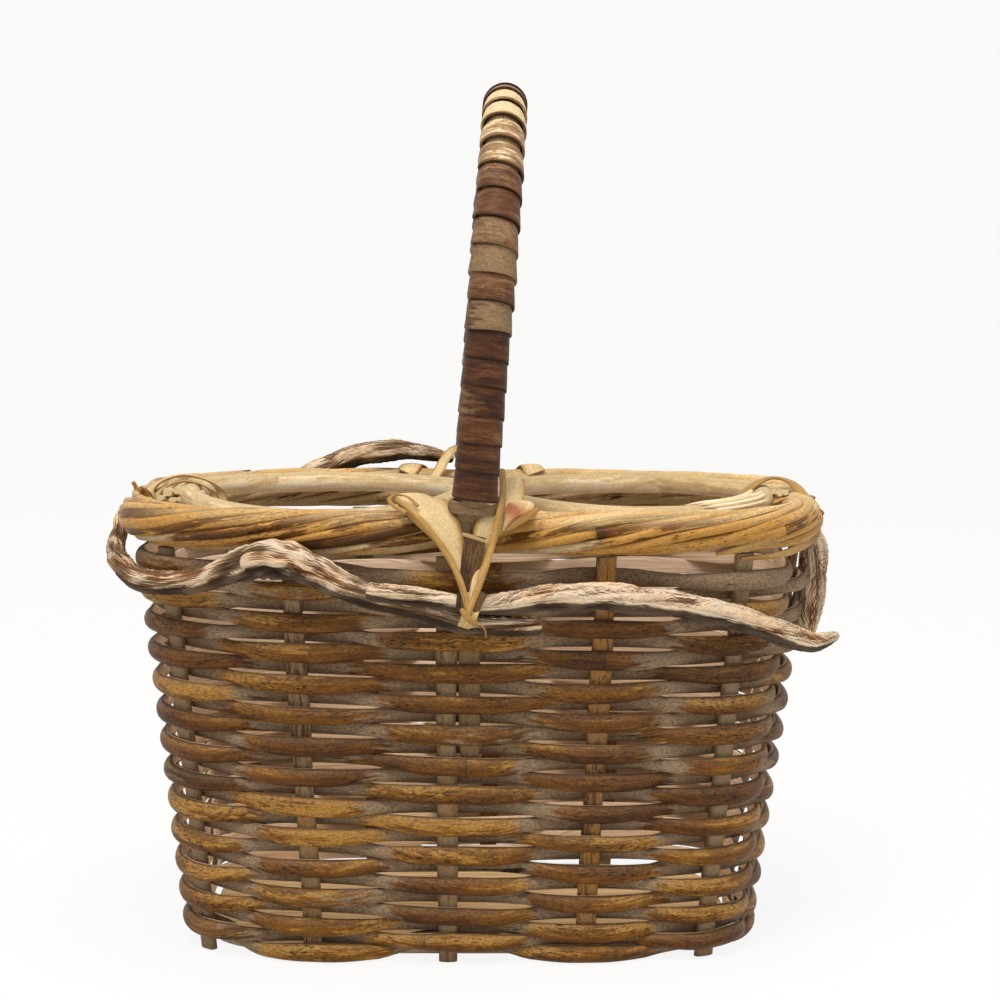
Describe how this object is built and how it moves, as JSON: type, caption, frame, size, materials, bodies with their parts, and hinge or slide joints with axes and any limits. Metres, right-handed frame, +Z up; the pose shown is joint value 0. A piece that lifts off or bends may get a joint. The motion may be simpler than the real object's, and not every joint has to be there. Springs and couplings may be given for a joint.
{
  "type": "wine bottle basket",
  "caption": "Woven cane carrier for wine bottles, with round hoop mouths, a rope border, a bound arch handle and vine trim.",
  "frame": {"origin": "middle of the foot, level with the flat tips of the stakes that it stands on", "axes": "+X to the right along the width, seen from the front; the front faces -Y; +Z up"},
  "size_m": [0.2901, 0.1754, 0.3301],
  "materials": {
    "pale_ply": "pale plywood, dry and unvarnished",
    "split_cane_stakes": "grey-brown split cane, dry, matt",
    "half_round_cane": "golden brown half-round cane with its skin on, satin",
    "split_rattan": "orange-brown split rattan, satin",
    "round_cane": "cream peeled round cane, matt",
    "handle_core": "grey-brown cane core, matt",
    "dark_cane_strip": "dark red-brown flat cane strip, satin",
    "weathered_vine": "grey weathered vine with fibrous bark",
    "peeled_cane": "peeled cream cane strip, matt",
    "dark_splint": "dark brown cane splint, satin"
  },
  "bodies": {
    "root": {"base_board": "pale_ply", "stake_01": "split_cane_stakes", "stake_02": "split_cane_stakes", "stake_03": "split_cane_stakes", "stake_04": "split_cane_stakes", "stake_05": "split_cane_stakes", "stake_06": "split_cane_stakes", "stake_07": "split_cane_stakes", "stake_08": "split_cane_stakes", "stake_09": "split_cane_stakes", "stake_10": "split_cane_stakes", "stake_11": "split_cane_stakes", "stake_12": "split_cane_stakes", "weaver_a_00": "half_round_cane", "weaver_a_01": "half_round_cane", "weaver_a_02": "half_round_cane", "weaver_a_03": "half_round_cane", "weaver_a_04": "half_round_cane", "weaver_a_05": "half_round_cane", "weaver_a_06": "half_round_cane", "weaver_a_07": "half_round_cane", "weaver_a_08": "half_round_cane", "weaver_a_09": "half_round_cane", "weaver_a_10": "half_round_cane", "weaver_a_11": "half_round_cane", "weaver_a_12": "half_round_cane", "weaver_b_00": "half_round_cane", "weaver_b_01": "half_round_cane", "weaver_b_02": "half_round_cane", "weaver_b_03": "half_round_cane", "weaver_b_04": "half_round_cane", "weaver_b_05": "half_round_cane", "weaver_b_06": "half_round_cane", "weaver_b_07": "half_round_cane", "weaver_b_08": "half_round_cane", "weaver_b_09": "half_round_cane", "weaver_b_10": "half_round_cane", "weaver_b_11": "half_round_cane", "weaver_b_12": "half_round_cane", "border_strand_1": "split_rattan", "border_strand_2": "split_rattan", "border_strand_3": "split_rattan", "border_strand_4": "split_rattan", "hoop_left": "round_cane", "hoop_right": "round_cane", "handle_core": "handle_core", "handle_binding_front": "dark_cane_strip", "handle_binding_back": "dark_cane_strip", "vine_left": "weathered_vine", "vine_right": "weathered_vine", "vine_back": "weathered_vine", "front_tie": "peeled_cane", "back_tie": "peeled_cane", "front_strap_left": "peeled_cane", "front_strap_right": "peeled_cane", "back_strap_left": "peeled_cane", "back_strap_right": "peeled_cane", "end_lashing_left": "peeled_cane", "end_lashing_right": "peeled_cane", "front_tail": "dark_splint"}
  },
  "joints": []
}
